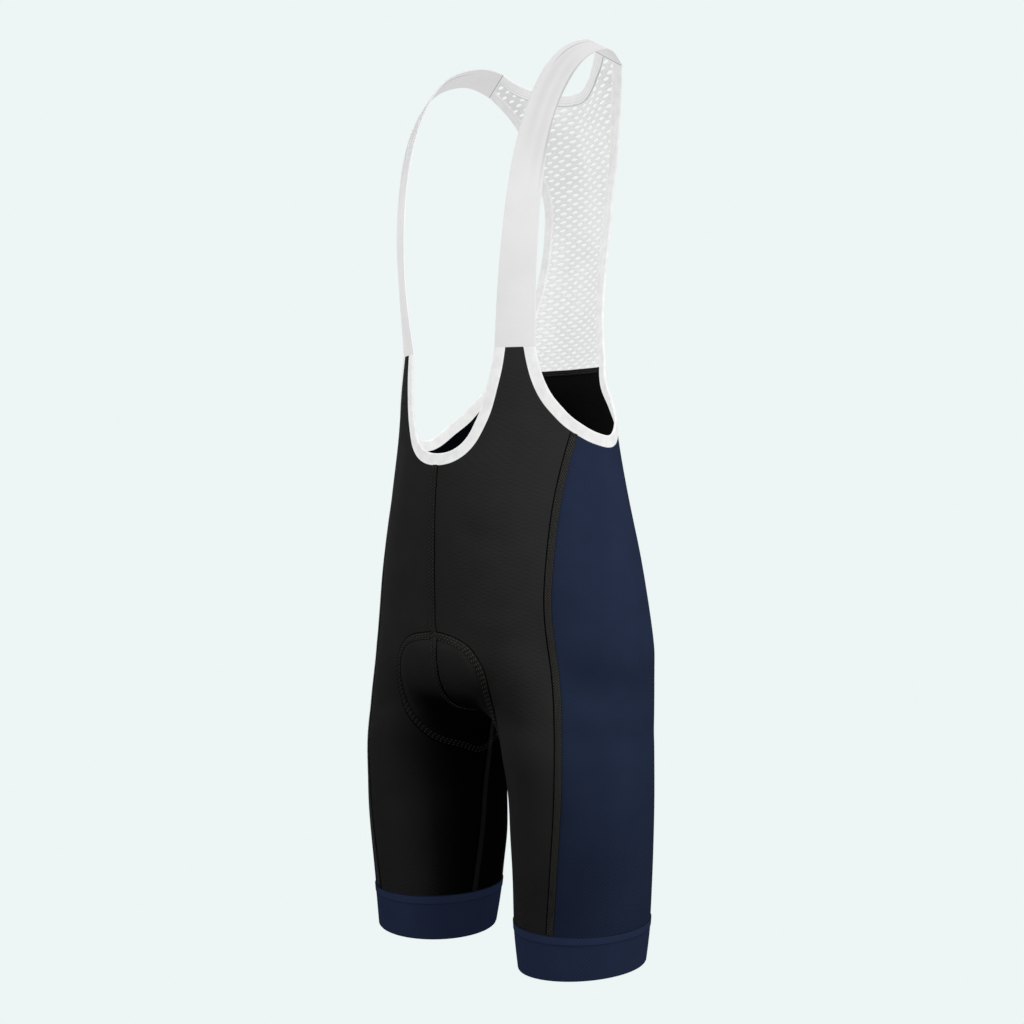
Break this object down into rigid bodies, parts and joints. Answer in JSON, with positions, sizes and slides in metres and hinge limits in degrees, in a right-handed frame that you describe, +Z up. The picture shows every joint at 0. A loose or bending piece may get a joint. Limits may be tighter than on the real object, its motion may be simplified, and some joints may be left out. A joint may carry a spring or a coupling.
{
  "type": "cycling bib shorts",
  "caption": "Worn-form cycling bib shorts with shoulder straps, net back, bound openings, side panels and leg grippers; hollow, no wearer.",
  "frame": {"origin": "between the crests of the two shoulder straps, level with them, where the wearer's shoulders carry the garment", "axes": "+Z up, the garment's front faces -Y, +X to the wearer's left"},
  "size_m": [0.346, 0.2121, 0.8927],
  "materials": {
    "black_knit": "matt black stretch knit with a faint sheen",
    "navy_knit": "matt navy stretch knit",
    "navy_band": "matt navy elastic band",
    "pale_webbing": "smooth pale grey elastic",
    "pale_net": "pale grey open net",
    "pale_binding": "smooth pale grey folded binding"
  },
  "bodies": {
    "root": {"front_left": "black_knit", "front_right": "black_knit", "back_left": "black_knit", "back_right": "black_knit", "side_left": "navy_knit", "side_right": "navy_knit", "gripper_left": "navy_band", "gripper_right": "navy_band", "strap_left": "pale_webbing", "strap_right": "pale_webbing", "net_back": "pale_net", "neck_binding": "pale_binding", "back_neck_binding": "pale_binding", "side_binding_left": "pale_binding", "side_binding_right": "pale_binding"}
  },
  "joints": []
}
